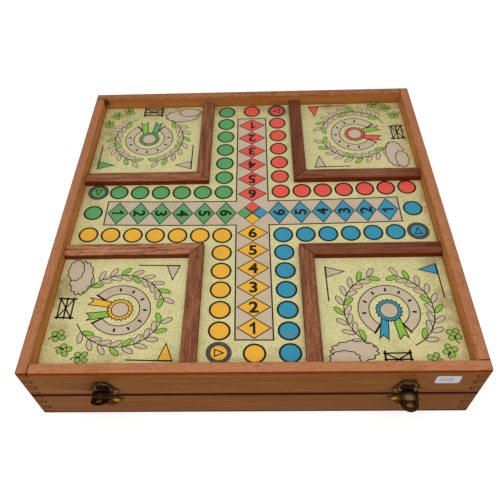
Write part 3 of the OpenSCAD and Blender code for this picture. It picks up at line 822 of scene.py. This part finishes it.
class GAMEBOX_OT_home(Operator):
    """Print the cross of numbered home fields and the square in the middle"""

    bl_idname = "gamebox.home"
    bl_label = "Home fields"

    def execute(self, context):
        ink = settings()[1]
        band = bmesh.new()
        shape(band, self.cross(ink.band_w / 2, ink.band_l / 2), ink.band_line, TAUPE, BLACK)
        print_layer("home_band", band, 1)
        fields = bmesh.new()
        numbers = bmesh.new()
        half = ink.pitch / 2
        for (ax, ay), shade in ARMS:
            outward, side = Vector((ax, ay)), Vector((-ay, ax))
            for k in range(6):
                middle = outward * (ink.square_r + half + k * ink.pitch)
                self.field(fields, middle, outward * half, side * ink.field_w / 2, ink.field_line, shade)
                self.number(numbers, 6 - k, middle, outward)
            reach = outward * ink.square_r / 2
            self.field(fields, reach, reach, side * ink.square_r / 2, ink.field_line * 0.7, shade)
        print_layer("home_fields", fields, 2)
        print_layer("home_numbers", numbers, 3)
        return {"FINISHED"}

    def cross(self, w, l):
        """The corners of the cross, with points between so that its long sides can creep with the sheet."""
        corners = [
            (w, w), (w, l), (-w, l), (-w, w), (-l, w), (-l, -w),
            (-w, -w), (-w, -l), (w, -l), (w, -w), (l, -w), (l, w),
        ]
        steps = 5
        return [
            Vector(a).lerp(Vector(b), k / steps)
            for a, b in zip(corners, corners[1:] + corners[:1])
            for k in range(steps)
        ]

    def field(self, bm, middle, reach, side, line_w, shade):
        """A lozenge round its middle, given its half length and half width."""
        shape(bm, [middle + reach, middle + side, middle - reach, middle - side], line_w, shade, BLACK)

    def number(self, bm, digit, centre, outward):
        """A bold number whose top points to the middle of the board."""
        ink = settings()[1]
        turn = Matrix.Rotation(-Vector((0, -1)).angle_signed(outward), 4, "Z")
        place = Matrix.Translation((centre.x, centre.y, 0)) @ turn
        if digit == 1:
            h, w = ink.digit_h / 2, 1.15 * MM
            flag = [(-0.2 * MM, h), (-3.9 * MM, h - 3.4 * MM), (-3.9 * MM, h - 5.6 * MM), (-w, h - 3.8 * MM)]
            corners = [(w, -h), (w, h), *flag, (-w, -h)]
            shape(bm, [(place @ Vector((*c, 0))).to_2d() for c in corners], 0, BLACK, BLACK)
            return
        text = bpy.data.curves.new("number", "FONT")
        text.body = str(digit)
        text.size = ink.digit_h * 1.32
        text.offset = ink.digit_h * 0.044
        text.resolution_u = 3
        carrier = bpy.data.objects.new("number", text)
        bpy.context.scene.collection.objects.link(carrier)
        bpy.context.view_layer.update()
        flat = bpy.data.meshes.new_from_object(carrier.evaluated_get(bpy.context.evaluated_depsgraph_get()))
        bpy.data.objects.remove(carrier)
        xs = [v.co.x for v in flat.vertices]
        ys = [v.co.y for v in flat.vertices]
        middle = Matrix.Translation((-(min(xs) + max(xs)) / 2, -(min(ys) + max(ys)) / 2, 0))
        flat.transform(place @ Matrix.Diagonal((1.08, 1, 1, 1)) @ middle)
        bm.from_mesh(flat)
        bpy.data.meshes.remove(flat)


class GAMEBOX_OT_pictures(Operator):
    """Print a plain racing emblem in each stable"""

    bl_idname = "gamebox.pictures"
    bl_label = "Stable pictures"

    def execute(self, context):
        for sx, sy, shade, turn in QUARTERS:
            corner = f"{'front' if sy < 0 else 'back'}_{'left' if sx < 0 else 'right'}"
            low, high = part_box(f"strip_{corner}_across")
            edge = high.y if sy > 0 else low.y
            x = sx * (abs(low.x if sx < 0 else high.x) + 58 * MM) / 2
            y = (edge + sy * INNER) / 2
            matrix = Matrix.Translation((x, y, 0)) @ Matrix.Rotation(turn, 4, "Z") @ Matrix.Scale(1.08, 4)
            layers = [bmesh.new() for n in range(4)]
            self.emblem(layers, shade, settings()[1].picture_line)
            for n, bm in enumerate(layers):
                bmesh.ops.transform(bm, matrix=matrix, verts=bm.verts)
                print_layer(f"emblem_{corner}_{n + 1}", bm, n + 1)
        return {"FINISHED"}

    def emblem(self, layers, shade, line):
        self.horseshoe(layers[0], 25 * MM, line)
        self.nail_holes(layers[1], 20.2 * MM)
        self.laurel(layers[0], line)
        self.rosette(layers[1:], shade, line)
        self.hedge(layers[2], -32 * MM, -37 * MM, 17 * MM, 9 * MM, 13, line)
        self.hedge(layers[3], -40 * MM, -43 * MM, 11 * MM, 6.5 * MM, 10, line)
        for px, py, turn in ((27, -45, 0.3), (40, -38, -0.5), (46, -24, 0.1)):
            self.clover(layers[3], px * MM, py * MM, turn, line)
        self.hurdle(layers[0], 0, -45 * MM)
        for side in (-1, 1):
            self.pennant(layers[0], side, shade, line)

    def horseshoe(self, bm, outer, line):
        """A broad open shoe with two heels, drawn with an outer and an inner line."""
        inner, open_half = outer * 0.62, radians(34)
        start = [bm.verts.new((0, -r, 0)) for r in (inner, inner + line, outer - line, outer)]
        bmesh.ops.rotate(bm, verts=start, cent=(0, 0, 0), matrix=Matrix.Rotation(open_half, 3, "Z"))
        edges = [bm.edges.new(pair) for pair in zip(start, start[1:])]
        bmesh.ops.spin(
            bm, geom=start + edges, cent=(0, 0, 0), axis=(0, 0, 1), angle=2 * (pi - open_half), steps=44,
        )
        for f in bm.faces:
            r = f.calc_center_median().length
            f.material_index = TAUPE if inner + line < r < outer - line else BLACK
        for side in (-1, 1):
            angle = -pi / 2 + side * open_half
            a = Vector((cos(angle), sin(angle)))
            bar(bm, a * (inner - line), a * (outer + line), 2 * line, BLACK)

    def nail_holes(self, bm, radius):
        """Seven slots round the shoe."""
        for k in range(7):
            a = pi / 2 + (k - 3) * radians(32)
            disc(bm, radius * cos(a), radius * sin(a), 2 * MM, 0, BLACK, BLACK, 12, 0.5, a)

    def rosette(self, layers, shade, line):
        """Two ribbon tails under a ring of pleats round a button."""
        for side, fill in ((-1, shade), (1, LEAF)):
            tail = [(1, -5), (7, -4), (12, -27), (8, -23.5), (4, -28)]
            shape(layers[0], [(side * px * MM, py * MM) for px, py in tail], line, fill, BLACK)
        pleats, inner, outer = 18, 7.6 * MM, 11.4 * MM
        zigzag = []
        for k in range(2 * pleats):
            a, r = pi * k / pleats, outer if k % 2 else outer * 0.86
            zigzag.append((r * cos(a), r * sin(a)))
        shape(layers[1], zigzag, line, shade, BLACK)
        disc(layers[2], 0, 0, inner, line, TAUPE, BLACK)

    def laurel(self, bm, line):
        """Two sprigs that rise round the horseshoe, with paired leaves."""
        radius, steps = 36 * MM, 9
        for side in (-1, 1):
            angles = [-pi / 2 + side * radians(24 + 15 * k) for k in range(steps + 1)]
            points = [Vector((cos(a), sin(a))) * radius for a in angles]
            for a, b in zip(points, points[1:]):
                bar(bm, a, b, line, BLACK)
            for k, (a, p) in enumerate(zip(angles[1:], points[1:])):
                for away in (-1, 1):
                    lean = a + side * pi / 2 - side * away * radians(38)
                    c = p + Vector((cos(lean), sin(lean))) * 5.8 * MM
                    fill = LEAF if (k + (away > 0)) % 4 == 0 else TAUPE
                    disc(bm, c.x, c.y, 5.4 * MM, line * 0.75, fill, BLACK, 20, 0.46, lean)

    def hedge(self, bm, x, y, w, h, lumps, line):
        """A clipped bush with a lumpy outline."""
        points = []
        for k in range(lumps * 6):
            a = 2 * pi * k / (lumps * 6)
            swell = 1 + 0.13 * abs(sin(a * lumps / 2))
            points.append((x + w * swell * cos(a), y + h * swell * sin(a)))
        shape(bm, points, line, TAUPE, BLACK)

    def clover(self, bm, x, y, turn, line):
        """A four-leaved clover on a bent stem."""
        radius = 2.6 * MM
        middle = Vector((x, y))
        for k in range(4):
            a = turn + pi / 4 + k * pi / 2
            leaf = middle + Vector((cos(a), sin(a))) * radius * 1.45
            disc(bm, leaf.x, leaf.y, radius, line * 0.7, LEAF, BLACK, 20)
        bend = middle + Vector((sin(turn), -cos(turn))) * 2.4 * radius
        bar(bm, middle, bend, line, BLACK)
        bar(bm, bend, bend + Vector((radius * 0.8, -radius * 0.7)), line, BLACK)

    def hurdle(self, bm, x, y):
        w, h, t = 9.5 * MM, 7 * MM, 1.7 * MM
        for side in (-1, 1):
            bar(bm, (x + side * w, y - h), (x + side * w, y + h + 1.5 * MM), t, BLACK)
            bar(bm, (x - side * w, y - h + 2 * MM), (x + side * w, y + h - 1 * MM), t * 0.7, BLACK)
        for k in range(3):
            level = y - h + 2 * MM + k * 5.5 * MM
            bar(bm, (x - w - 1.5 * MM, level), (x + w + 1.5 * MM, level), t * 0.8, BLACK)

    def pennant(self, bm, side, shade, line):
        foot, top = Vector((side * 47 * MM, 10 * MM)), Vector((side * 47 * MM, 46 * MM))
        bar(bm, foot, top, line * 1.4, BLACK)
        flag = [(top.x, top.y), (top.x, top.y - 12 * MM), (top.x - side * 17 * MM, top.y - 6 * MM)]
        shape(bm, flag, line, shade if side > 0 else TAUPE, BLACK)


class GAMEBOX_OT_label(Operator):
    """Stick the plain paper label on the lid's front rail"""

    bl_idname = "gamebox.label"
    bl_label = "Paper label"

    def execute(self, context):
        brass = settings()[2]
        bm = bmesh.new()
        w, h, t = brass.label_w, brass.label_h, 0.12 * MM
        place = Matrix.Translation((brass.label_x, FRONT - t / 2, brass.label_z))
        bmesh.ops.create_cube(bm, size=1.0, matrix=place @ Matrix.Diagonal((w, t, h, 1)))
        corners = [e for e in bm.edges if abs(e.verts[0].co.y - e.verts[1].co.y) > t / 2]
        bmesh.ops.bevel(
            bm, geom=corners, offset=2 * MM, offset_type="OFFSET", affect="EDGES", segments=5,
            profile=0.5, material=-1,
        )
        piece("paper_label", bm, [label_paper("label_paper")], "lid")
        return {"FINISHED"}


class GAMEBOX_OT_stage(Operator):
    """Set up the pale floor, the soft studio light and the camera"""

    bl_idname = "gamebox.stage"
    bl_label = "Studio"
    # Square lamps that point at the box: name, place, side, share of the key light's power
    LAMPS = (
        ("key_light", (0.05, -0.58, 1.26), 1.3, 1.0),
        ("side_light", (-1.3, -0.2, 0.9), 0.9, 0.14),
    )

    def execute(self, context):
        stage = settings()[3]
        scene = context.scene
        scene.view_settings.view_transform = "Standard"
        self.floor(stage)
        self.world(scene, stage)
        for name, at, size, share in self.LAMPS:
            self.lamp(name, at, size, stage.key * share)
        self.camera(scene, stage)
        return {"FINISHED"}

    def floor(self, stage):
        bm = bmesh.new()
        bmesh.ops.create_grid(bm, x_segments=2, y_segments=2, size=6)
        mesh = bpy.data.meshes.new("floor")
        bm.to_mesh(mesh)
        bm.free()
        floor = bpy.data.objects.new("floor", mesh)
        bpy.context.scene.collection.objects.link(floor)
        f = Finish("pale_floor")
        path = f.node("ShaderNodeLightPath").socket.node
        rays = [Value(f, path.outputs[f"Is {kind} Ray"]) for kind in ("Camera", "Glossy", "Transmission")]
        seen = rays[0] + rays[1] + rays[2]
        glow = f.blend(f.spot((0, 0, 0), 0.5, 2), stage.backdrop_far, stage.backdrop)
        f.plug(f.surface.inputs["Emission Color"], f.blend(seen, (0, 0, 0), glow))
        f.surface.inputs["Emission Strength"].default_value = 1.0
        mesh.materials.append(f.done(f.blend(seen, stage.floor, stage.floor_seen), 0.9))

    def world(self, scene, stage):
        world = bpy.data.worlds.new("room")
        scene.world = world
        world.use_nodes = True
        tree = world.node_tree
        tree.nodes.clear()
        output = tree.nodes.new("ShaderNodeOutputWorld")
        background = tree.nodes.new("ShaderNodeBackground")
        path = tree.nodes.new("ShaderNodeLightPath")
        strength = tree.nodes.new("ShaderNodeMapRange")
        strength.inputs["To Min"].default_value = stage.sky
        strength.inputs["To Max"].default_value = 1.0
        seen = path.outputs["Is Camera Ray"]
        for ray in ("Is Glossy Ray", "Is Transmission Ray"):
            either = tree.nodes.new("ShaderNodeMath")
            either.operation = "MAXIMUM"
            tree.links.new(seen, either.inputs[0])
            tree.links.new(path.outputs[ray], either.inputs[1])
            seen = either.outputs[0]
        tree.links.new(seen, strength.inputs["Value"])
        tree.links.new(strength.outputs[0], background.inputs["Strength"])
        tree.links.new(background.outputs[0], output.inputs[0])
        background.inputs["Color"].default_value = (1, 1, 1, 1)

    def lamp(self, name, at, size, power):
        light = bpy.data.lights.new(name, "AREA")
        light.shape = "SQUARE"
        light.size = size
        light.energy = power
        lamp = bpy.data.objects.new(name, light)
        bpy.context.scene.collection.objects.link(lamp)
        lamp.matrix_world = Matrix.Translation(at) @ Vector(at).to_track_quat("Z", "Y").to_matrix().to_4x4()

    def camera(self, scene, stage):
        turn = Vector(stage.camera_turn)
        rows = Matrix.Rotation(turn.length, 3, turn.normalized())
        axes = Matrix((rows[0], -rows[1], -rows[2])).transposed().to_4x4()
        lens = bpy.data.cameras.new("photo_camera")
        lens.sensor_width = 36
        lens.lens = stage.lens
        lens.shift_x = stage.shift_x
        lens.shift_y = stage.shift_y
        lens.clip_start = 0.01
        camera = bpy.data.objects.new("photo_camera", lens)
        scene.collection.objects.link(camera)
        camera.matrix_world = Matrix.Translation(stage.camera) @ axes
        scene.camera = camera


STEPS = ("rails", "panels", "strips", "hinges", "latches", "track", "home", "pictures", "label", "stage")


class GAMEBOX_PT_panel(Panel):
    """Buttons and sizes of the game box"""

    bl_idname = "GAMEBOX_PT_panel"
    bl_label = "Game Box"
    bl_space_type = "VIEW_3D"
    bl_region_type = "UI"
    bl_category = "Game Box"

    def draw(self, context):
        layout = self.layout
        for step in STEPS:
            layout.operator(f"gamebox.{step}")
        for group in settings():
            box = layout.box()
            for key in group.__annotations__:
                box.prop(group, key)


GROUPS = {
    "game_box_wood": GameBoxWood,
    "game_box_print": GameBoxPrint,
    "game_box_brass": GameBoxBrass,
    "game_box_stage": GameBoxStage,
}
CLASSES = (
    *GROUPS.values(), GAMEBOX_OT_rails, GAMEBOX_OT_panels, GAMEBOX_OT_strips, GAMEBOX_OT_hinges,
    GAMEBOX_OT_latches, GAMEBOX_OT_track, GAMEBOX_OT_home, GAMEBOX_OT_pictures, GAMEBOX_OT_label,
    GAMEBOX_OT_stage, GAMEBOX_PT_panel,
)


def register():
    for cls in CLASSES:
        bpy.utils.register_class(cls)
    for key, group in GROUPS.items():
        setattr(bpy.types.Scene, key, PointerProperty(type=group))


def unregister():
    for key in GROUPS:
        delattr(bpy.types.Scene, key)
    for cls in reversed(CLASSES):
        bpy.utils.unregister_class(cls)


def main():
    register()
    for step in STEPS:
        getattr(bpy.ops.gamebox, step)()


if __name__ == "__main__":
    main()
